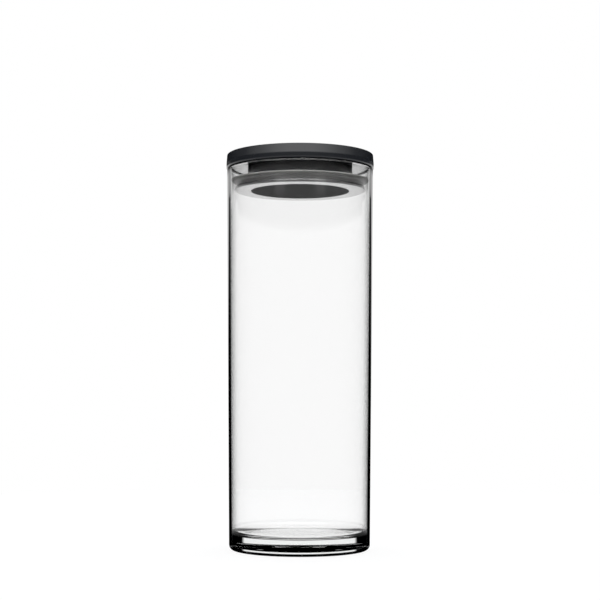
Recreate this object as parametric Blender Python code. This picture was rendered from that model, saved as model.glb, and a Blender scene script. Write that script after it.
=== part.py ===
"""A clear glass storage jar with a push-in lid, in metres, +Z up, standing on z = 0 round the Z axis."""

import math

import bmesh
import bpy

# The glass
GLASS_HEIGHT = 0.2562
RIM_RADIUS = 0.0495
BASE_INSET = 0.0024
WALL = 0.0022
RIM_ROUNDING_SHARE = 0.5
FLOOR_THICKNESS = 0.0103
HEEL_ROUNDING = 0.0037
CORNER_WIDTH = 0.0056
CORNER_HEIGHT = 0.0042
STANDING_RING_WIDTH = 0.0065
HOLLOW_DEPTH = 0.0008
HOLLOW_EDGE_WIDTH = 0.0040

# The cover, whose recess holds the plug's plate
COVER_OVERHANG = 0.0005
COVER_THICKNESS = 0.0093
RECESS_WALL = 0.0024
TOP_EDGE_WIDTH = 0.0008
TOP_EDGE_SHARE = 0.62
LOWER_EDGE_SHARE = 0.05

# The plug, measured from the glass inwards and from the cover's underside down
PLATE_THICKNESS = 0.0022
PLUG_DEPTH = 0.0152
NECK_WALL = 0.0020
FOOT_THICKNESS = 0.0022
FOOT_CLEARANCE = 0.0029
FOOT_LEDGE = 0.0089
FOOT_ROUNDING_SHARE = 0.2

# The seal, measured up from the plug's foot and inwards from the foot's edge
SEAL_INSET = 0.0013
COLLAR_INSET = 0.0023
COLLAR_HEIGHT = 0.0045
LIP_HEIGHT = 0.0047
LIP_THICKNESS = 0.0010
LIP_ROOT_HEIGHT = 0.0026
LIP_CHANNEL_DEPTH = 0.0016

# Pieces that touch on the real jar stand this far apart here
SEAT_GAP = 0.0003

TURN_STEPS = 64
ARC_STEPS = 5
EDGE_STEPS = 2
SHARP_ANGLE = math.radians(35)
MERGE_DISTANCE = 0.00001


def outer_radius(height):
    """The glass's outer radius, which grows evenly from the base to the rim."""
    return RIM_RADIUS - BASE_INSET * (1 - height / GLASS_HEIGHT)


def inner_radius(height):
    """The glass's inner radius at a height."""
    return outer_radius(height) - WALL


LID_SEAT = GLASS_HEIGHT + SEAT_GAP
COVER_RADIUS = RIM_RADIUS + COVER_OVERHANG
FOOT_RADIUS = inner_radius(LID_SEAT - PLUG_DEPTH) - FOOT_CLEARANCE
NECK_RADIUS = FOOT_RADIUS - FOOT_LEDGE


def arc(centre, width, height, start, end, steps):
    """Points of an elliptical arc, as (radius, z). Its angles are in degrees, from outwards to upwards."""
    points = []
    for step in range(steps + 1):
        angle = math.radians(start + (end - start) * step / steps)
        points.append((centre[0] + width * math.cos(angle), centre[1] + height * math.sin(angle)))
    return points


def rounding(centre, size, start, end):
    """A small round edge."""
    return arc(centre, size, size, start, end, EDGE_STEPS)


def glass_profile():
    """From the middle of the base out, up the wall, over the rim and down the inside to the floor."""
    standing_radius = outer_radius(0) - HEEL_ROUNDING
    hollow_radius = standing_radius - STANDING_RING_WIDTH
    rim_rounding = WALL * RIM_ROUNDING_SHARE
    rim_z = GLASS_HEIGHT - rim_rounding
    floor_radius = inner_radius(FLOOR_THICKNESS) - CORNER_WIDTH
    corner = (floor_radius, FLOOR_THICKNESS + CORNER_HEIGHT)
    profile = [(0, HOLLOW_DEPTH), (hollow_radius - HOLLOW_EDGE_WIDTH, HOLLOW_DEPTH), (hollow_radius, 0)]
    profile += arc((standing_radius, HEEL_ROUNDING), HEEL_ROUNDING, HEEL_ROUNDING, -90, 0, ARC_STEPS)
    profile += rounding((outer_radius(rim_z) - rim_rounding, rim_z), rim_rounding, 0, 90)
    profile += rounding((inner_radius(rim_z) + rim_rounding, rim_z), rim_rounding, 90, 180)
    profile += arc(corner, CORNER_WIDTH, CORNER_HEIGHT, 0, -90, ARC_STEPS)
    profile.append((0, FLOOR_THICKNESS))
    return profile


def cover_profile():
    """From the middle of the top out, down the rounded side, and into the recess below."""
    top_edge_height = COVER_THICKNESS * TOP_EDGE_SHARE
    top_edge = (COVER_RADIUS - TOP_EDGE_WIDTH, COVER_THICKNESS - top_edge_height)
    lower_edge = COVER_THICKNESS * LOWER_EDGE_SHARE
    recess_radius = COVER_RADIUS - RECESS_WALL
    recess_z = PLATE_THICKNESS + SEAT_GAP
    profile = [(0, COVER_THICKNESS)]
    profile += arc(top_edge, TOP_EDGE_WIDTH, top_edge_height, 90, 0, ARC_STEPS)
    profile += rounding((COVER_RADIUS - lower_edge, lower_edge), lower_edge, 0, -90)
    profile += [(recess_radius, 0), (recess_radius, recess_z), (0, recess_z)]
    return profile


def plug_profile():
    """From the middle of the plate out, down the neck, round the foot and up the inside of the neck."""
    plate_radius = COVER_RADIUS - RECESS_WALL - SEAT_GAP
    bore_radius = NECK_RADIUS - NECK_WALL
    foot_rounding = FOOT_THICKNESS * FOOT_ROUNDING_SHARE
    foot_edge_radius = FOOT_RADIUS - foot_rounding
    foot_z = FOOT_THICKNESS - PLUG_DEPTH
    profile = [(0, PLATE_THICKNESS), (plate_radius, PLATE_THICKNESS), (plate_radius, 0)]
    profile += [(NECK_RADIUS, 0), (NECK_RADIUS, foot_z)]
    profile += rounding((foot_edge_radius, foot_z - foot_rounding), foot_rounding, 90, 0)
    profile += rounding((foot_edge_radius, foot_rounding - PLUG_DEPTH), foot_rounding, 0, -90)
    profile += [(bore_radius, -PLUG_DEPTH), (bore_radius, 0), (0, 0)]
    return profile


def seal_profile():
    """A ring that grips the neck and stands on the foot. Its lip reaches out to the glass."""
    seal_z = FOOT_THICKNESS - PLUG_DEPTH + SEAT_GAP
    seal_bore = NECK_RADIUS + SEAT_GAP
    seal_radius = FOOT_RADIUS - SEAL_INSET
    collar_radius = seal_radius - COLLAR_INSET
    lip_top = seal_z + LIP_HEIGHT
    tip_rounding = LIP_THICKNESS / 2
    tip_z = lip_top - tip_rounding
    tip_radius = inner_radius(LID_SEAT + tip_z) - SEAT_GAP - tip_rounding
    lip_root = (tip_radius, lip_top - LIP_THICKNESS - LIP_ROOT_HEIGHT)
    profile = [(seal_bore, seal_z + COLLAR_HEIGHT), (collar_radius, seal_z + COLLAR_HEIGHT)]
    profile.append((collar_radius, lip_top - LIP_CHANNEL_DEPTH))
    profile += rounding((tip_radius, tip_z), tip_rounding, 90, 0)
    profile += rounding((tip_radius, tip_z), tip_rounding, 0, -90)[1:]
    profile += arc(lip_root, tip_radius - seal_radius, LIP_ROOT_HEIGHT, 90, 180, ARC_STEPS)[1:]
    profile += [(seal_radius, seal_z), (seal_bore, seal_z)]
    return profile


def material(name, colour, roughness, transmission=0):
    """A Principled material. A clear one also shows as half transparent in the viewport."""
    made = bpy.data.materials.new(name)
    made.use_nodes = True
    shader = made.node_tree.nodes["Principled BSDF"]
    shader.inputs["Base Color"].default_value = (*colour, 1)
    shader.inputs["Roughness"].default_value = roughness
    shader.inputs["Metallic"].default_value = 0
    shader.inputs["Transmission Weight"].default_value = transmission
    made.diffuse_color = (*colour, 1 - transmission / 2)
    return made


def turned(name, profile, finish, ring=False, parent=None):
    """A solid turned round Z. An open profile starts and ends on the axis, and a ring's is a closed loop."""
    shape = bmesh.new()
    corners = [shape.verts.new((radius, 0, z)) for radius, z in profile]
    ends = corners[1:] + corners[:1] if ring else corners[1:]
    edges = [shape.edges.new(pair) for pair in zip(corners, ends)]
    bmesh.ops.spin(
        shape,
        geom=corners + edges,
        axis=(0, 0, 1),
        cent=(0, 0, 0),
        angle=math.tau,
        steps=TURN_STEPS,
        use_merge=True,
    )
    bmesh.ops.remove_doubles(shape, verts=shape.verts, dist=MERGE_DISTANCE)
    bmesh.ops.recalc_face_normals(shape, faces=shape.faces)
    mesh = bpy.data.meshes.new(name)
    shape.to_mesh(mesh)
    shape.free()
    mesh.materials.append(finish)
    mesh.shade_smooth()
    mesh.set_sharp_from_angle(angle=SHARP_ANGLE)
    piece = bpy.data.objects.new(name, mesh)
    piece.parent = parent
    bpy.context.scene.collection.objects.link(piece)
    return piece


def empty_on_axis(name, height):
    """The empty that carries what moves along the jar's axis."""
    made = bpy.data.objects.new(name, None)
    made.location.z = height
    bpy.context.scene.collection.objects.link(made)
    return made


def main():
    for obj in list(bpy.data.objects):
        bpy.data.objects.remove(obj)

    clear_glass = material("clear_glass", (0.95, 0.97, 0.97), 0.0, transmission=1)
    anthracite_plastic = material("anthracite_plastic", (0.028, 0.030, 0.034), 0.35)
    dark_silicone = material("dark_silicone", (0.045, 0.045, 0.047), 0.5)

    turned("glass_jar", glass_profile(), clear_glass)

    lid = empty_on_axis("lid_seat", LID_SEAT)
    turned("lid_cover", cover_profile(), anthracite_plastic, parent=lid)
    turned("lid_plug", plug_profile(), anthracite_plastic, parent=lid)
    turned("seal_ring", seal_profile(), dark_silicone, ring=True, parent=lid)


main()
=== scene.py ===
# %% [markdown]
# # A glass storage jar with a push-in lid
#
# The jar is four pieces: a pressed glass body, a moulded plastic cover, the hollow plug under it, and the
# silicone ring round the plug that wipes the glass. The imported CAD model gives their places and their
# motion, and this file gives them their looks. All sizes are metres, and the jar stands on z = 0 round the Z
# axis.

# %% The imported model
import math

import bpy
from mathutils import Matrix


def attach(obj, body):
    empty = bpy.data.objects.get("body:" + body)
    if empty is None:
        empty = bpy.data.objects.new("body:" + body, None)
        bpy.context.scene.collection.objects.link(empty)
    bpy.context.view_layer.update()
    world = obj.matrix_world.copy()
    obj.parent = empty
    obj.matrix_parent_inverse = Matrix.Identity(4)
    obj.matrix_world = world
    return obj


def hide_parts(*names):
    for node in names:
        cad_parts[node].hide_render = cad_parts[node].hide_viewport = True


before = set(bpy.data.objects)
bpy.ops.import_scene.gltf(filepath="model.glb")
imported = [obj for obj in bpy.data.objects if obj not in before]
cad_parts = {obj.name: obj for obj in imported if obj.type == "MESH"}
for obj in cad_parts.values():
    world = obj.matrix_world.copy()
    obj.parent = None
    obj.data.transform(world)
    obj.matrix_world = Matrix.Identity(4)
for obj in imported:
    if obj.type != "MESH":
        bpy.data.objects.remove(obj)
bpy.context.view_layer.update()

# %% [markdown]
# ## Tools for the bench
#
# Colours are written as hex codes, the way a paint chart gives them. Blender mixes light in linear numbers,
# so one function turns a code into those. A second one adds a node to a material, with its settings and its
# links, because every finish below is a small net of nodes.


# %% Colours and nodes
def linear(code):
    """A hex colour as linear red, green, blue and alpha, by the sRGB formula."""
    parts = [int(code[place : place + 2], 16) / 255 for place in (1, 3, 5)]
    return [part / 12.92 if part <= 0.04045 else ((part + 0.055) / 1.055) ** 2.4 for part in parts] + [1]


def add_node(tree, kind, inputs=None, stops=None, **settings):
    """Adds a node. A socket given for an input is linked to it. Stops are a ramp's (place, hex code)."""
    made = tree.nodes.new(kind)
    for name, value in settings.items():
        setattr(made, name, value)
    for name, value in (inputs or {}).items():
        if isinstance(value, bpy.types.NodeSocket):
            tree.links.new(value, made.inputs[name])
        else:
            made.inputs[name].default_value = value
    if stops:
        elements = made.color_ramp.elements
        while len(elements) < len(stops):
            elements.new(1)
        for element, (place, code) in zip(elements, stops):
            element.position = place
            element.color = linear(code)
    return made


print("anthracite in linear light:", [round(part, 3) for part in linear("#1C1E22")])

# %% [markdown]
# ## The camera
#
# The photograph was taken from a little over a third of the jar's height, so the lid shows its underside and
# the base shows its floor. A long lens from about a metre away keeps the sides nearly upright. The camera
# tilts up slightly, and a small upward shift does the rest of the framing.

# %% Camera
CAMERA_DISTANCE = 0.9333
EYE_HEIGHT = 0.102
CAMERA_LENS = 82.95
CAMERA_TILT = math.radians(3.3)
CAMERA_ROLL = -0.0018
CAMERA_SHIFT = (0.0005, 0.0287)
LEVEL = math.radians(90)

bpy.ops.object.camera_add(
    location=(0, -CAMERA_DISTANCE, EYE_HEIGHT), rotation=(LEVEL + CAMERA_TILT, CAMERA_ROLL, 0)
)
camera = bpy.context.object
camera.data.lens = CAMERA_LENS
camera.data.shift_x, camera.data.shift_y = CAMERA_SHIFT
bpy.context.scene.camera = camera
print(f"camera {CAMERA_DISTANCE} m away at {EYE_HEIGHT} m, lens {CAMERA_LENS} mm")

# %% [markdown]
# ## The studio
#
# Clear glass shows what is round it, so a jar is lit by choosing what stands behind it, beside it and over
# it. Cards and softboxes could be modelled for that, but they would show in other views. Here the world is
# the whole studio. A plain pale room lights every surface, and the Light Path node tells which kind of ray is
# asking, so that the camera, gloss and glass each see what a photographer would set up for them.
#
# A ray's direction says where in the studio it ends. Z is how steeply it rises, X is how far it goes aside,
# and Y runs from the camera to what is behind the jar.

# %% Studio
BEHIND_TO_FRONT = {"From Min": 1.0, "From Max": -1.0}

world = bpy.data.worlds.new("studio")
bpy.context.scene.world = world
world.use_nodes = True
sky = world.node_tree
sky.nodes.clear()
direction = add_node(sky, "ShaderNodeTexCoord").outputs["Generated"]
direction = add_node(sky, "ShaderNodeSeparateXYZ", {"Vector": direction}).outputs
rise = direction["Z"]
beside = add_node(sky, "ShaderNodeMath", {0: direction["X"]}, operation="ABSOLUTE").outputs[0]
to_front = add_node(sky, "ShaderNodeMapRange", {"Value": direction["Y"], **BEHIND_TO_FRONT}).outputs[0]
room = add_node(sky, "ShaderNodeBackground", {"Color": linear("#E1E3E6")})
white = add_node(sky, "ShaderNodeBackground", {"Color": linear("#FFFFFF")})
black = add_node(sky, "ShaderNodeBackground", {"Color": linear("#000000")})
print("studio nodes:", len(sky.nodes))

# %% [markdown]
# ## What gloss sees
#
# Satin plastic mirrors a room as soft bands, and the eye reads its curves from them. A large softbox hangs
# over the jar, dim behind it and bright in front, with a dark gap and a faint strip below its lower edge. A
# pale glow stands along the horizon. It fades out straight behind the jar, so that the outermost edge of the
# glass, which mirrors that spot, doesn't vanish against the white. Below the horizon all is white.

# %% Softbox and glow
BOX_STRENGTH = 3.0
BOX_BY_RISE = [
    (0.138, "#000000"), (0.142, "#2A2A2A"), (0.160, "#2A2A2A"),
    (0.168, "#000000"), (0.19, "#3C3C3C"), (0.28, "#FFFFFF"),
]
BOX_TO_FRONT = [(0.15, "#1E1E1E"), (0.45, "#5A5A5A"), (0.735, "#BCBCBC"), (0.95, "#FFFFFF")]
GLOW_STRENGTH = 1.0
GLOW_BY_RISE = [(0.0, "#FFFFFF"), (0.137, "#FFFFFF"), (0.143, "#000000")]
GLOW_TO_FRONT = [(0.0, "#000000"), (0.02, "#FFFFFF")]
GLOW_TALLER_BEHIND = {"From Min": 0.12, "From Max": 0.16, "To Min": 0.019, "To Max": 0.0}
BELOW_HORIZON = {"From Min": 0.0, "From Max": -0.06}

taller = add_node(sky, "ShaderNodeMapRange", {"Value": to_front, **GLOW_TALLER_BEHIND}).outputs[0]
glow_rise = add_node(sky, "ShaderNodeMath", {0: rise, 1: taller}, operation="SUBTRACT").outputs[0]
shapes = []
for height, height_stops, front_stops, strength in (
    (rise, BOX_BY_RISE, BOX_TO_FRONT, BOX_STRENGTH),
    (glow_rise, GLOW_BY_RISE, GLOW_TO_FRONT, GLOW_STRENGTH),
):
    by_height = add_node(sky, "ShaderNodeValToRGB", {"Fac": height}, height_stops).outputs["Color"]
    by_side = add_node(sky, "ShaderNodeValToRGB", {"Fac": to_front}, front_stops).outputs["Color"]
    shape = add_node(
        sky, "ShaderNodeMix", {0: 1.0, 6: by_height, 7: by_side}, data_type="RGBA", blend_type="MULTIPLY"
    )
    shapes.append(add_node(sky, "ShaderNodeBackground", {"Color": shape.outputs[2], "Strength": strength}))
above = add_node(sky, "ShaderNodeAddShader", {0: shapes[0].outputs[0], 1: shapes[1].outputs[0]})
below = add_node(sky, "ShaderNodeMapRange", {"Value": rise, **BELOW_HORIZON}).outputs[0]
mirrored = add_node(sky, "ShaderNodeMixShader", {0: below, 1: above.outputs[0], 2: white.outputs[0]})
print("softbox and glow added:", len(sky.nodes), "nodes")

# %% [markdown]
# ## What the glass shows
#
# A jar on white is drawn by its dark lines, and those are places where the glass bends a ray away from the
# white. So the backdrop is of limited height: what the thick base throws up past its top edge is dark. A
# ray that has been inside the jar sees white behind it between the two sides, and the mirrored room beside
# it and in front. One more small light in front reaches only the plug's neck and the lip of its ring.

# %% Backdrop and front light
BACKDROP_BY_RISE = [(0.18, "#FFFFFF"), (0.24, "#000000")]
BEHIND_JAR = {"From Min": -0.1, "From Max": 0.1}
BETWEEN_SIDES = {"From Min": 0.60, "From Max": 0.75, "To Min": 1.0, "To Max": 0.0}
FRONT_STRENGTH = 2.5
FRONT_PLACE = {"From Min": 0.75, "From Max": 0.95}
FRONT_RISE = {"From Min": 0.150, "From Max": 0.158}

backdrop = add_node(sky, "ShaderNodeValToRGB", {"Fac": rise}, BACKDROP_BY_RISE)
seen_through = add_node(sky, "ShaderNodeBackground", {"Color": backdrop.outputs["Color"]})
behind = add_node(sky, "ShaderNodeMapRange", {"Value": direction["Y"], **BEHIND_JAR}).outputs[0]
between = add_node(sky, "ShaderNodeMapRange", {"Value": beside, **BETWEEN_SIDES}).outputs[0]
behind = add_node(sky, "ShaderNodeMath", {0: behind, 1: between}, operation="MULTIPLY").outputs[0]
past_glass = add_node(sky, "ShaderNodeMixShader", {0: behind, 1: mirrored.outputs[0], 2: white.outputs[0]})
front = add_node(sky, "ShaderNodeMapRange", {"Value": to_front, **FRONT_PLACE}).outputs[0]
front_rise = add_node(sky, "ShaderNodeMapRange", {"Value": rise, **FRONT_RISE}).outputs[0]
for factor in (front_rise, FRONT_STRENGTH):
    front = add_node(sky, "ShaderNodeMath", {0: front, 1: factor}, operation="MULTIPLY").outputs[0]
front = add_node(sky, "ShaderNodeBackground", {"Color": linear("#FFFFFF"), "Strength": front})
within_jar = add_node(sky, "ShaderNodeAddShader", {0: past_glass.outputs[0], 1: front.outputs[0]})
print("backdrop and front light added:", len(sky.nodes), "nodes")

# %% [markdown]
# ## Which ray sees what
#
# The Light Path node also counts: how often a ray has crossed a glass surface, and how often it has been
# mirrored or scattered. The counts are whole numbers, so a limit lies between two of them. Up to two
# crossings, the ray has only been in the glass itself, in the wall's edge, the rim or the base. After three
# it has been inside the jar. Each kind of ray gets a mask, and the masks are laid over each other from the
# most general to the most special one. The camera comes last, and always sees plain white.

# %% Masks
BELOW_ONE, BELOW_TWO, BELOW_THREE = 0.5, 1.5, 2.5
RIM_RISE = {"From Min": 0.125, "From Max": 0.135}
PAST_RIM_RISE = {"From Min": 0.17, "From Max": 0.19, "To Min": 1.0, "To Max": 0.0}
RIM_ASIDE = {"From Min": 0.35, "From Max": 0.45}
FAR_ASIDE = {"From Min": 0.62, "From Max": 0.67}

path = add_node(sky, "ShaderNodeLightPath").outputs
through_glass = path["Is Transmission Ray"]
once = add_node(sky, "ShaderNodeMath", {0: path["Glossy Depth"], 1: BELOW_TWO}, operation="LESS_THAN")
bounces = add_node(
    sky, "ShaderNodeMath", {0: path["Diffuse Depth"], 1: path["Glossy Depth"]}, operation="ADD"
)
straight = add_node(sky, "ShaderNodeMath", {0: bounces.outputs[0], 1: BELOW_ONE}, operation="LESS_THAN")
crossings = path["Transmission Depth"]
few = add_node(sky, "ShaderNodeMath", {0: crossings, 1: BELOW_THREE}, operation="LESS_THAN")
many = add_node(sky, "ShaderNodeMath", {0: crossings, 1: BELOW_THREE}, operation="GREATER_THAN")
rim_rise = add_node(sky, "ShaderNodeMapRange", {"Value": rise, **RIM_RISE})
past_rim_rise = add_node(sky, "ShaderNodeMapRange", {"Value": rise, **PAST_RIM_RISE})
rim_aside = add_node(sky, "ShaderNodeMapRange", {"Value": beside, **RIM_ASIDE})
far_aside = add_node(sky, "ShaderNodeMapRange", {"Value": beside, **FAR_ASIDE})
masks = {}
for name, factors in {
    "in the rim": (few, rim_rise, past_rim_rise, once, rim_aside),
    "in the glass alone": (straight,),
    "inside the jar": (many, once),
    "far aside": (few, far_aside),
}.items():
    masks[name] = through_glass
    for factor in factors:
        masks[name] = add_node(
            sky, "ShaderNodeMath", {0: masks[name], 1: factor.outputs[0]}, operation="MULTIPLY"
        ).outputs[0]
print("masks:", ", ".join(masks))

# %% World
light = room
for share, shown in (
    (path["Is Glossy Ray"], mirrored),
    (through_glass, black),
    (masks["in the rim"], past_glass),
    (masks["in the glass alone"], seen_through),
    (masks["inside the jar"], within_jar),
    (masks["far aside"], black),
    (path["Is Camera Ray"], white),
):
    light = add_node(sky, "ShaderNodeMixShader", {0: share, 1: light.outputs[0], 2: shown.outputs[0]})
add_node(sky, "ShaderNodeOutputWorld", {"Surface": light.outputs[0]})
print("world nodes:", len(sky.nodes))

# %% [markdown]
# ## The lamp
#
# The room lights the jar from all sides alike. One soft rectangular lamp above it, a little to the back,
# adds the shadow on the floor. It is weak, because the room gives most of the light.

# %% Lamp
LAMP_SIZE = (0.9, 0.6)
LAMP_PLACE = (0, 0.15, 1.1)
LAMP_POWER = 5

bpy.ops.object.light_add(type="AREA", location=LAMP_PLACE)
lamp = bpy.context.object
lamp.name = "soft_lamp"
lamp.data.shape = "RECTANGLE"
lamp.data.size, lamp.data.size_y = LAMP_SIZE
lamp.data.energy = LAMP_POWER
print(f"lamp {LAMP_POWER} W at {LAMP_PLACE[2]} m")

# %% [markdown]
# ## The floor
#
# The jar stands on a pale matt sweep with no line where floor meets wall. A wide disc does that here, because
# its rim is as white as the world behind it.

# %% Floor
FLOOR_RADIUS = 0.6
FLOOR_CORNERS = 96

bpy.ops.mesh.primitive_circle_add(
    vertices=FLOOR_CORNERS, radius=FLOOR_RADIUS, fill_type="NGON", location=(0, 0, 0)
)
floor = bpy.context.object
floor.name = "floor"
print(f"floor disc {2 * FLOOR_RADIUS} m across")

# %% [markdown]
# ## The floor's paper
#
# Matt white paper has no gloss, so a diffuse shader is enough. Most of what the camera sees of it is its
# own white, and the rest is lit, so the jar's soft shadow stays on it. Rays that come through the glass see
# the same white where they run straight, where they come from inside the jar, and right under the base.
# Gloss sees the paper dark near the jar, a painted shadow, and white further out. A ray that has only been
# in the glass itself, and meets the paper outside the jar's footprint, passes through it and ends in the
# studio's white.

# %% Paper masks
UNDER_BASE = {"From Min": 0.036, "From Max": 0.041, "To Min": 1.0, "To Max": 0.0}
FOOTPRINT_RADIUS = 0.05
PAINTED_SHADOW_TO_WHITE = {"From Min": 0.13, "From Max": 0.19}

matt_paper = bpy.data.materials.new("matt_white_paper")
matt_paper.use_nodes = True
paper = matt_paper.node_tree
paper.nodes.clear()
path = add_node(paper, "ShaderNodeLightPath").outputs
through_glass = path["Is Transmission Ray"]
mirrorings, crossings = path["Glossy Depth"], path["Transmission Depth"]
straight = add_node(paper, "ShaderNodeMath", {0: mirrorings, 1: BELOW_ONE}, operation="LESS_THAN")
once = add_node(paper, "ShaderNodeMath", {0: mirrorings, 1: BELOW_TWO}, operation="LESS_THAN")
few = add_node(paper, "ShaderNodeMath", {0: crossings, 1: BELOW_THREE}, operation="LESS_THAN")
many = add_node(paper, "ShaderNodeMath", {0: crossings, 1: BELOW_THREE}, operation="GREATER_THAN")
place = add_node(paper, "ShaderNodeTexCoord").outputs["Object"]
away = add_node(paper, "ShaderNodeVectorMath", {0: place}, operation="LENGTH").outputs["Value"]
footprint = add_node(paper, "ShaderNodeMath", {0: away, 1: FOOTPRINT_RADIUS}, operation="LESS_THAN")
beside = add_node(paper, "ShaderNodeSeparateXYZ", {"Vector": place}).outputs["X"]
beside = add_node(paper, "ShaderNodeMath", {0: beside}, operation="ABSOLUTE").outputs[0]
under = add_node(paper, "ShaderNodeMapRange", {"Value": beside, **UNDER_BASE}).outputs[0]
for factor in (footprint, once):
    under = add_node(
        paper, "ShaderNodeMath", {0: under, 1: factor.outputs[0]}, operation="MULTIPLY"
    ).outputs[0]
inside = add_node(paper, "ShaderNodeMath", {0: many.outputs[0], 1: once.outputs[0]}, operation="MULTIPLY")
open_way = straight.outputs[0]
for other in (inside.outputs[0], under):
    open_way = add_node(paper, "ShaderNodeMath", {0: open_way, 1: other}, operation="MAXIMUM").outputs[0]
through = add_node(
    paper, "ShaderNodeMath", {0: through_glass, 1: open_way}, operation="MULTIPLY"
).outputs[0]
seen = add_node(
    paper, "ShaderNodeMath", {0: through, 1: path["Is Camera Ray"]}, operation="ADD", use_clamp=True
).outputs[0]
mirrored = add_node(
    paper, "ShaderNodeMath", {0: path["Is Glossy Ray"], 1: seen}, operation="SUBTRACT", use_clamp=True
).outputs[0]
still_in_glass = few.outputs[0]
for factor in (through_glass, straight.outputs[0]):
    still_in_glass = add_node(
        paper, "ShaderNodeMath", {0: still_in_glass, 1: factor}, operation="MULTIPLY"
    ).outputs[0]
unstopped = add_node(
    paper,
    "ShaderNodeMath",
    {0: still_in_glass, 1: footprint.outputs[0]},
    operation="SUBTRACT",
    use_clamp=True,
).outputs[0]
print("paper masks:", len(paper.nodes), "nodes")

# %% Paper
OWN_WHITE_SHARE = 0.85
OWN_WHITE_STRENGTH = 1.04

share = add_node(paper, "ShaderNodeMath", {0: seen, 1: OWN_WHITE_SHARE}, operation="MULTIPLY").outputs[0]
not_through = add_node(paper, "ShaderNodeMath", {0: 1.0, 1: through_glass}, operation="SUBTRACT")
# Painted shadow: to gloss, the paper is dark near the jar and turns white further out.
further_out = add_node(paper, "ShaderNodeMapRange", {"Value": away, **PAINTED_SHADOW_TO_WHITE})
further_out = add_node(
    paper, "ShaderNodeMath", {0: further_out.outputs[0], 1: not_through.outputs[0]}, operation="MULTIPLY"
)
lit = add_node(paper, "ShaderNodeBsdfDiffuse", {"Color": linear("#F4F4F4")})
own_white = add_node(
    paper, "ShaderNodeEmission", {"Color": linear("#FFFFFF"), "Strength": OWN_WHITE_STRENGTH}
)
in_gloss = add_node(
    paper, "ShaderNodeEmission", {"Color": linear("#FFFFFF"), "Strength": further_out.outputs[0]}
)
clear = add_node(paper, "ShaderNodeBsdfTransparent")
surface = lit
for share_of, shown in ((share, own_white), (mirrored, in_gloss), (unstopped, clear)):
    surface = add_node(
        paper, "ShaderNodeMixShader", {0: share_of, 1: surface.outputs[0], 2: shown.outputs[0]}
    )
add_node(paper, "ShaderNodeOutputMaterial", {"Surface": surface.outputs[0]})
floor.data.materials.append(matt_paper)
print("paper nodes:", len(paper.nodes))

# %% [markdown]
# ## Turning a piece
#
# Every piece of this jar is round, so each is made as on a lathe: its outline is drawn from one vertex,
# extruded point by point, and spun about the Z axis. A curve with a Screw modifier would do the same, but a
# spun mesh can be checked and shaded at once. Round edges are arcs. A long straight run gets an extra ring
# near each of its ends, so that an edge's smooth shading stays at the edge and the glass between doesn't
# warp.

# %% Arcs
ARC_STEPS = 10
EDGE_STEPS = 4


def arc(centre, width, height, start, end, steps=ARC_STEPS):
    """Points of an elliptical arc, as (radius, z). Its angles are in degrees, from outwards to upwards."""
    points = []
    for step in range(steps + 1):
        angle = math.radians(start + (end - start) * step / steps)
        points.append((centre[0] + width * math.cos(angle), centre[1] + height * math.sin(angle)))
    return points


def rounding(centre, size, start, end):
    """A small round edge."""
    return arc(centre, size, size, start, end, EDGE_STEPS)


quarters = arc((0, 0), 1, 1, 0, 90), rounding((0, 0), 1, 0, 90)
print("points in a large and in a small quarter round:", [len(quarter) for quarter in quarters])

# %% Lathe
TURN_STEPS = 192
SUPPORT = 0.0005
LONG_RUN = 4 * SUPPORT
MERGE_DISTANCE = 0.000002
SHARP_ANGLE = math.radians(35)


def supported(outline):
    """The outline with an extra point near both ends of every long straight run."""
    points = [outline[0]]
    for (r0, z0), (r1, z1) in zip(outline, outline[1:]):
        length = math.hypot(r1 - r0, z1 - z0)
        if length > LONG_RUN:
            for part in (SUPPORT / length, 1 - SUPPORT / length):
                points.append((r0 + (r1 - r0) * part, z0 + (z1 - z0) * part))
        points.append((r1, z1))
    return points


def turned(name, outline, finish):
    """A piece turned round Z. An open outline starts and ends on the axis, a ring's ends where it starts."""
    points = supported(outline)
    bpy.ops.object.select_all(action="DESELECT")
    bpy.ops.mesh.primitive_plane_add(size=SUPPORT, location=(points[0][0], 0, points[0][1]))
    piece = bpy.context.object
    piece.name = piece.data.name = name
    bpy.ops.object.transform_apply(location=True, rotation=True, scale=True)
    bpy.ops.object.mode_set(mode="EDIT")
    bpy.ops.mesh.select_all(action="SELECT")
    bpy.ops.mesh.merge(type="CENTER")
    for (r0, z0), (r1, z1) in zip(points, points[1:]):
        bpy.ops.mesh.extrude_vertices_move(TRANSFORM_OT_translate={"value": (r1 - r0, 0, z1 - z0)})
    bpy.ops.mesh.select_all(action="SELECT")
    bpy.ops.mesh.spin(steps=TURN_STEPS, angle=math.tau, center=(0, 0, 0), axis=(0, 0, 1))
    bpy.ops.mesh.select_all(action="SELECT")
    bpy.ops.mesh.remove_doubles(threshold=MERGE_DISTANCE)
    bpy.ops.mesh.normals_make_consistent(inside=False)
    bpy.ops.object.mode_set(mode="OBJECT")
    bpy.ops.object.shade_smooth_by_angle(angle=SHARP_ANGLE)
    piece.data.materials.append(finish)
    print(f"{name}: {len(points)} points round, {len(piece.data.polygons)} faces")
    return piece
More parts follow.
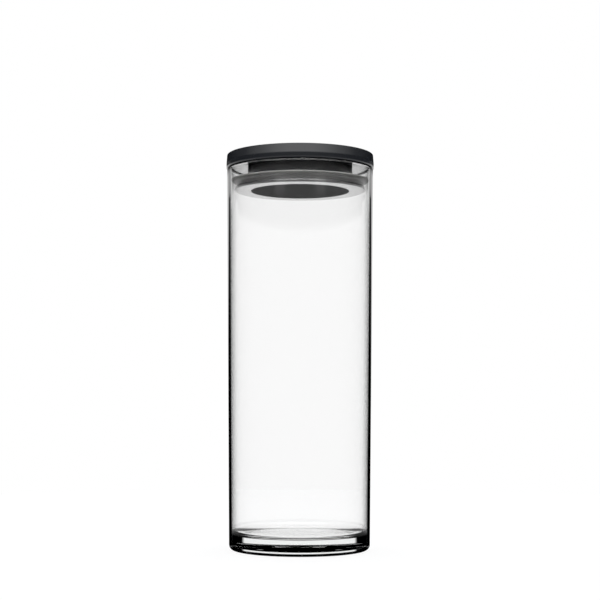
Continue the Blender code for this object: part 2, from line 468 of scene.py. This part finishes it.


# %% [markdown]
# ## Clear glass
#
# Soda-lime glass, pressed in a mould and fire-polished, so its surface is smooth. Its IOR is about 1.52. Seen
# head on a thin wall is nearly invisible. Towards the side of the jar, where the eye looks along the wall, it
# would show the dark sides of a studio. That darkening is painted shade here: a Layer Weight darkens the
# glass's colour alike all round the jar, and only on the outer face of the wall, which an attribute marks.
# Near the very edge the painted shade ends in a black line, which is a little narrower higher up and fades
# out under the lid.

# %% Painted edge shade and edge line
PAINTED_EDGE_SHADE = [
    (0.45, "#FFFFFF"), (0.522, "#FAFAFA"), (0.564, "#E4E4E4"),
    (0.643, "#B3B3B3"), (0.682, "#858585"), (0.72, "#000000"),
]
LINE_START = {"From Min": 0.700, "From Max": 0.722}
LINE_END = {"From Min": 0.03, "From Max": 0.25, "To Min": 1.0, "To Max": 0.775}
LINE_FADE = {"From Min": 0.235, "From Max": 0.248, "To Min": 1.0, "To Max": 0.0}

clear_glass = bpy.data.materials.new("pressed_soda_lime_glass")
clear_glass.use_nodes = True
glass = clear_glass.node_tree
glass.nodes.clear()
facing = add_node(glass, "ShaderNodeLayerWeight", {"Blend": 0.5}).outputs["Facing"]
outside = add_node(glass, "ShaderNodeAttribute", attribute_name="outside").outputs["Fac"]
place = add_node(glass, "ShaderNodeTexCoord").outputs["Object"]
height = add_node(glass, "ShaderNodeSeparateXYZ", {"Vector": place}).outputs["Z"]
# Painted shade: the glass's colour darkens towards the jar's sides by Layer Weight, for the dark studio seen
# there.
painted_edge_shade = add_node(glass, "ShaderNodeValToRGB", {"Fac": facing}, PAINTED_EDGE_SHADE)
outer_painted_shade = add_node(
    glass, "ShaderNodeMix", {0: outside, 6: linear("#FFFFFF"), 7: painted_edge_shade.outputs["Color"]}, data_type="RGBA"
)
# Painted shade: a black line near the very edge of the wall's outer face.
painted_dark_line = add_node(glass, "ShaderNodeMapRange", {"Value": facing, **LINE_START}).outputs[0]
line_end = add_node(glass, "ShaderNodeMapRange", {"Value": height, **LINE_END}).outputs[0]
before_end = add_node(glass, "ShaderNodeMath", {0: facing, 1: line_end}, operation="LESS_THAN").outputs[0]
below_lid = add_node(glass, "ShaderNodeMapRange", {"Value": height, **LINE_FADE}).outputs[0]
for factor in (before_end, below_lid, outside):
    painted_dark_line = add_node(glass, "ShaderNodeMath", {0: painted_dark_line, 1: factor}, operation="MULTIPLY").outputs[0]
print("edge nodes:", len(glass.nodes))

# %% [markdown]
# ## Glass and its depth
#
# Where the painted black line of shade is, the glass lets nothing through and mirrors nothing. Everywhere
# else it is a plain transmitting Principled shader. Iron in the glass takes a little light along long paths,
# which shows in the thick base. A Volume Absorption does that, and a tint of the surface would not know how
# thick the glass is.

# %% Glass
GLASS_IOR = 1.52
PLAIN_SHINE = 0.5
ABSORPTION_DENSITY = 2

# Where the black line of shade is painted, transmission and gloss go to nothing.
clear = add_node(glass, "ShaderNodeMath", {0: 1.0, 1: painted_dark_line}, operation="SUBTRACT").outputs[0]
shine = add_node(glass, "ShaderNodeMath", {0: clear, 1: PLAIN_SHINE}, operation="MULTIPLY").outputs[0]
shader = add_node(
    glass,
    "ShaderNodeBsdfPrincipled",
    {
        "Base Color": outer_painted_shade.outputs[2],
        "Roughness": 0.0,
        "IOR": GLASS_IOR,
        "Transmission Weight": clear,
        "Specular IOR Level": shine,
    },
)
depth = add_node(
    glass, "ShaderNodeVolumeAbsorption", {"Color": linear("#C8D2CE"), "Density": ABSORPTION_DENSITY}
)
add_node(
    glass, "ShaderNodeOutputMaterial", {"Surface": shader.outputs["BSDF"], "Volume": depth.outputs["Volume"]}
)
print("glass nodes:", len(glass.nodes))

# %% [markdown]
# ## The glass body
#
# The wall leans out by half a degree from the base to the rim, as pressed glass does so that it leaves its
# mould. The heel is round, the floor is more than four times as thick as the wall, and the inside corner is a
# soft ellipse. The base is hollow by less than a millimetre, so that the jar stands on a ring. The rim is
# rounded by fire.

# %% Glass sizes
GLASS_HEIGHT = 0.2562
RIM_RADIUS = 0.0495
BASE_INSET = 0.0024
WALL = 0.0022
RIM_ROUNDING_SHARE = 0.5
FLOOR_THICKNESS = 0.0103
HEEL_ROUNDING = 0.0037
CORNER_WIDTH = 0.0056
CORNER_HEIGHT = 0.0042
STANDING_RING_WIDTH = 0.0065
HOLLOW_DEPTH = 0.0008
HOLLOW_EDGE_WIDTH = 0.0040


def outer_radius(z):
    """The glass's outer radius, which grows evenly from the base to the rim."""
    return RIM_RADIUS - BASE_INSET * (1 - z / GLASS_HEIGHT)


def inner_radius(z):
    """The glass's inner radius at a height."""
    return outer_radius(z) - WALL


print("outer radius at the base and at the rim:", outer_radius(0), outer_radius(GLASS_HEIGHT))

# %% Glass body
standing_radius = outer_radius(0) - HEEL_ROUNDING
hollow_radius = standing_radius - STANDING_RING_WIDTH
rim_rounding = WALL * RIM_ROUNDING_SHARE
rim_z = GLASS_HEIGHT - rim_rounding
floor_radius = inner_radius(FLOOR_THICKNESS) - CORNER_WIDTH

outline = [(0, HOLLOW_DEPTH), (hollow_radius - HOLLOW_EDGE_WIDTH, HOLLOW_DEPTH), (hollow_radius, 0)]
outline += arc((standing_radius, HEEL_ROUNDING), HEEL_ROUNDING, HEEL_ROUNDING, -90, 0)
outline += rounding((outer_radius(rim_z) - rim_rounding, rim_z), rim_rounding, 0, 90)
outline += rounding((inner_radius(rim_z) + rim_rounding, rim_z), rim_rounding, 90, 180)
outline += arc((floor_radius, FLOOR_THICKNESS + CORNER_HEIGHT), CORNER_WIDTH, CORNER_HEIGHT, 0, -90)
outline.append((0, FLOOR_THICKNESS))
jar = turned("glass_body", outline, clear_glass)
outside = jar.data.attributes.new("outside", "FLOAT", "POINT")
for vertex in jar.data.vertices:
    x, y, z = vertex.co
    on_wall = math.hypot(x, y) > outer_radius(z) - WALL / 2
    outside.data[vertex.index].value = float(on_wall and HEEL_ROUNDING < z < rim_z - MERGE_DISTANCE)
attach(jar, "jar")
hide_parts("glass_jar")
print("vertices marked as the outer face:", sum(int(mark.value) for mark in outside.data))

# %% [markdown]
# ## Anthracite plastic and silicone
#
# The lid is injection moulded ABS, coloured through, so its colour doesn't wear off. ABS has an IOR of
# about 1.5. The mould gives each face its finish. The cover and the neck have a fine grain, which spreads
# their gloss into soft bands, and the neck's is the duller one. The plate and the foot are polished, and a
# clear coat stands in for that hard gloss. The ring is silicone rubber with a dull bloom. Its lip is painted
# paler towards its top edge, a painted highlight where the edge catches the light.
#
# One function makes them all. The real grain is about a tenth of a millimetre, too fine to show from here,
# so it is drawn at half a millimetre.

# %% Moulded grain
GRAIN = 0.0005
GRAIN_DETAIL = 2.0
GRAIN_HEIGHT = 0.00002
GRAIN_STRENGTH = 0.1
GLOSS_SPREAD = 0.04


def moulded(name, code, roughness, ior, coat):
    """A moulded plastic. Its grain is a fine noise, in bump and in gloss."""
    made = bpy.data.materials.new(name)
    made.use_nodes = True
    tree = made.node_tree
    tree.nodes.clear()
    place = add_node(tree, "ShaderNodeTexCoord").outputs["Object"]
    grain = add_node(
        tree, "ShaderNodeTexNoise", {"Vector": place, "Scale": 1 / GRAIN, "Detail": GRAIN_DETAIL}
    ).outputs["Fac"]
    spread = {"To Min": roughness - GLOSS_SPREAD, "To Max": roughness + GLOSS_SPREAD}
    gloss = add_node(tree, "ShaderNodeMapRange", {"Value": grain, **spread})
    bump = add_node(
        tree, "ShaderNodeBump", {"Height": grain, "Strength": GRAIN_STRENGTH, "Distance": GRAIN_HEIGHT}
    )
    shader = add_node(
        tree,
        "ShaderNodeBsdfPrincipled",
        {
            "Base Color": linear(code),
            "Roughness": gloss.outputs["Result"],
            "IOR": ior,
            "Coat Weight": coat,
            "Coat Roughness": roughness,
            "Normal": bump.outputs["Normal"],
        },
    )
    add_node(tree, "ShaderNodeOutputMaterial", {"Surface": shader.outputs["BSDF"]})
    return made


anthracite = moulded("moulded_anthracite_abs", "#1C1E22", roughness=0.12, ior=1.45, coat=0.0)
polished = moulded("moulded_anthracite_abs_smooth", "#19191A", roughness=0.12, ior=1.5, coat=1.0)
satin = moulded("moulded_anthracite_abs_satin", "#1E1F20", roughness=0.3, ior=1.45, coat=0.0)
print("plastics:", anthracite.name, polished.name, satin.name)

# %% Silicone
SILICONE_CODE = "#464645"
PAINTED_LIP_HIGHLIGHT_CODE = "#B4B4B2"
# Painted highlight: the lip's colour turns paler towards its top edge, where the light catches it.
PAINTED_LIP_HIGHLIGHT_RISE = {"From Min": 0.2455, "From Max": 0.2484}

silicone = moulded("dark_silicone_rubber", SILICONE_CODE, roughness=0.3, ior=1.45, coat=0.0)
rubber = silicone.node_tree
place = add_node(rubber, "ShaderNodeTexCoord").outputs["Object"]
height = add_node(rubber, "ShaderNodeSeparateXYZ", {"Vector": place}).outputs["Z"]
# Painted highlight, mixed into the silicone's colour by height.
painted_lip_highlight = add_node(rubber, "ShaderNodeMapRange", {"Value": height, **PAINTED_LIP_HIGHLIGHT_RISE}).outputs[0]
colour_with_painted_highlight = add_node(
    rubber, "ShaderNodeMix", {0: painted_lip_highlight, 6: linear(SILICONE_CODE), 7: linear(PAINTED_LIP_HIGHLIGHT_CODE)}, data_type="RGBA"
)
rubber.links.new(colour_with_painted_highlight.outputs[2], rubber.nodes["Principled BSDF"].inputs["Base Color"])
print("rubber:", silicone.name)

# %% [markdown]
# ## The cover
#
# The cover is a thick disc. Its side leans in a little over the upper part, its top edge has a small round,
# and its lower edge is only broken. A recess in its underside takes the plate of the plug. The lid's outlines
# are drawn from the cover's underside and then raised to their place on the glass.

# %% Cover
COVER_OVERHANG = 0.0005
COVER_THICKNESS = 0.0093
RECESS_WALL = 0.0024
TOP_EDGE_WIDTH = 0.0008
TOP_EDGE_SHARE = 0.62
TOP_CORNER = 0.0004
LOWER_EDGE_SHARE = 0.05
PLATE_THICKNESS = 0.0022
SEAT_GAP = 0.0003

LID_SEAT = GLASS_HEIGHT + SEAT_GAP
COVER_RADIUS = RIM_RADIUS + COVER_OVERHANG


def raised(outline):
    """An outline measured from the cover's underside, at its place on the glass."""
    return [(radius, z + LID_SEAT) for radius, z in outline]


lower_edge = COVER_THICKNESS * LOWER_EDGE_SHARE
recess_radius = COVER_RADIUS - RECESS_WALL
recess_z = PLATE_THICKNESS + SEAT_GAP
outline = [(0, COVER_THICKNESS)]
outline += rounding((COVER_RADIUS - TOP_EDGE_WIDTH, COVER_THICKNESS - TOP_CORNER), TOP_CORNER, 90, 0)
outline.append((COVER_RADIUS, COVER_THICKNESS * (1 - TOP_EDGE_SHARE)))
outline += rounding((COVER_RADIUS - lower_edge, lower_edge), lower_edge, 0, -90)
outline += [(recess_radius, 0), (recess_radius, recess_z), (0, recess_z)]
cover = turned("cover", raised(outline), anthracite)

# %% [markdown]
# ## The plug
#
# The plug hangs from a plate in the cover's recess: a plain hollow neck with a flat foot round its lower end,
# all of one moulding. The neck is satin inside and out, and the plate and the foot are polished.

# %% Plug
PLUG_DEPTH = 0.0152
NECK_WALL = 0.0020
FOOT_THICKNESS = 0.0022
FOOT_CLEARANCE = 0.0029
FOOT_LEDGE = 0.0089
FOOT_ROUNDING_SHARE = 0.2

FOOT_RADIUS = inner_radius(LID_SEAT - PLUG_DEPTH) - FOOT_CLEARANCE
NECK_RADIUS = FOOT_RADIUS - FOOT_LEDGE

plate_radius = COVER_RADIUS - RECESS_WALL - SEAT_GAP
bore_radius = NECK_RADIUS - NECK_WALL
foot_rounding = FOOT_THICKNESS * FOOT_ROUNDING_SHARE
foot_edge_radius = FOOT_RADIUS - foot_rounding
foot_z = FOOT_THICKNESS - PLUG_DEPTH
outline = [(0, PLATE_THICKNESS), (plate_radius, PLATE_THICKNESS), (plate_radius, 0)]
outline += [(NECK_RADIUS, 0), (NECK_RADIUS, foot_z)]
outline += rounding((foot_edge_radius, foot_z - foot_rounding), foot_rounding, 90, 0)
outline += rounding((foot_edge_radius, foot_rounding - PLUG_DEPTH), foot_rounding, 0, -90)
outline += [(bore_radius, -PLUG_DEPTH), (bore_radius, 0), (0, 0)]
plug = turned("plug", raised(outline), polished)
plug.data.materials.append(satin)
for face in plug.data.polygons:
    face.material_index = int(foot_z + MERGE_DISTANCE < face.center.z - LID_SEAT < -MERGE_DISTANCE)
print("satin faces of the plug:", sum(face.material_index for face in plug.data.polygons))

# %% [markdown]
# ## The wiper ring
#
# The ring grips the neck with a collar and stands on the foot. Its thin lip curves out and up to the glass
# and bends as the lid goes in. That holds the lid and keeps the air out.

# %% Seal
SEAL_INSET = 0.0013
COLLAR_INSET = 0.0023
COLLAR_HEIGHT = 0.0045
LIP_HEIGHT = 0.0047
LIP_THICKNESS = 0.0010
LIP_ROOT_HEIGHT = 0.0026
LIP_CHANNEL_DEPTH = 0.0016

seal_z = foot_z + SEAT_GAP
seal_bore = NECK_RADIUS + SEAT_GAP
seal_radius = FOOT_RADIUS - SEAL_INSET
collar_radius = seal_radius - COLLAR_INSET
lip_top = seal_z + LIP_HEIGHT
tip_rounding = LIP_THICKNESS / 2
tip_z = lip_top - tip_rounding
tip_radius = inner_radius(LID_SEAT + tip_z) - SEAT_GAP - tip_rounding
lip_root = (tip_radius, lip_top - LIP_THICKNESS - LIP_ROOT_HEIGHT)
outline = [(seal_bore, seal_z + COLLAR_HEIGHT), (collar_radius, seal_z + COLLAR_HEIGHT)]
outline.append((collar_radius, lip_top - LIP_CHANNEL_DEPTH))
outline += rounding((tip_radius, tip_z), tip_rounding, 90, 0)
outline += rounding((tip_radius, tip_z), tip_rounding, 0, -90)[1:]
outline += arc(lip_root, tip_radius - seal_radius, LIP_ROOT_HEIGHT, 90, 180)[1:]
outline += [(seal_radius, seal_z), (seal_bore, seal_z), (seal_bore, seal_z + COLLAR_HEIGHT)]
seal = turned("wiper_ring", raised(outline), silicone)

# %% [markdown]
# ## One lid
#
# The cover, the plug and the ring lift off together, so all three ride on the lid's body, and each takes the
# place of its own plain solid.

# %% Lid
for piece, node, slot in (
    (cover, "lid_cover", "anthracite_plastic"),
    (plug, "lid_plug", "anthracite_plastic"),
    (seal, "seal_ring", "dark_silicone"),
):
    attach(piece, "lid")
    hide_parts(node)
    print(f"{piece.name} takes the place of {node}")

# %% [markdown]
# ## Finishing
#
# The view transform stays plain.

# %% Finish
bpy.context.scene.view_settings.view_transform = "Standard"
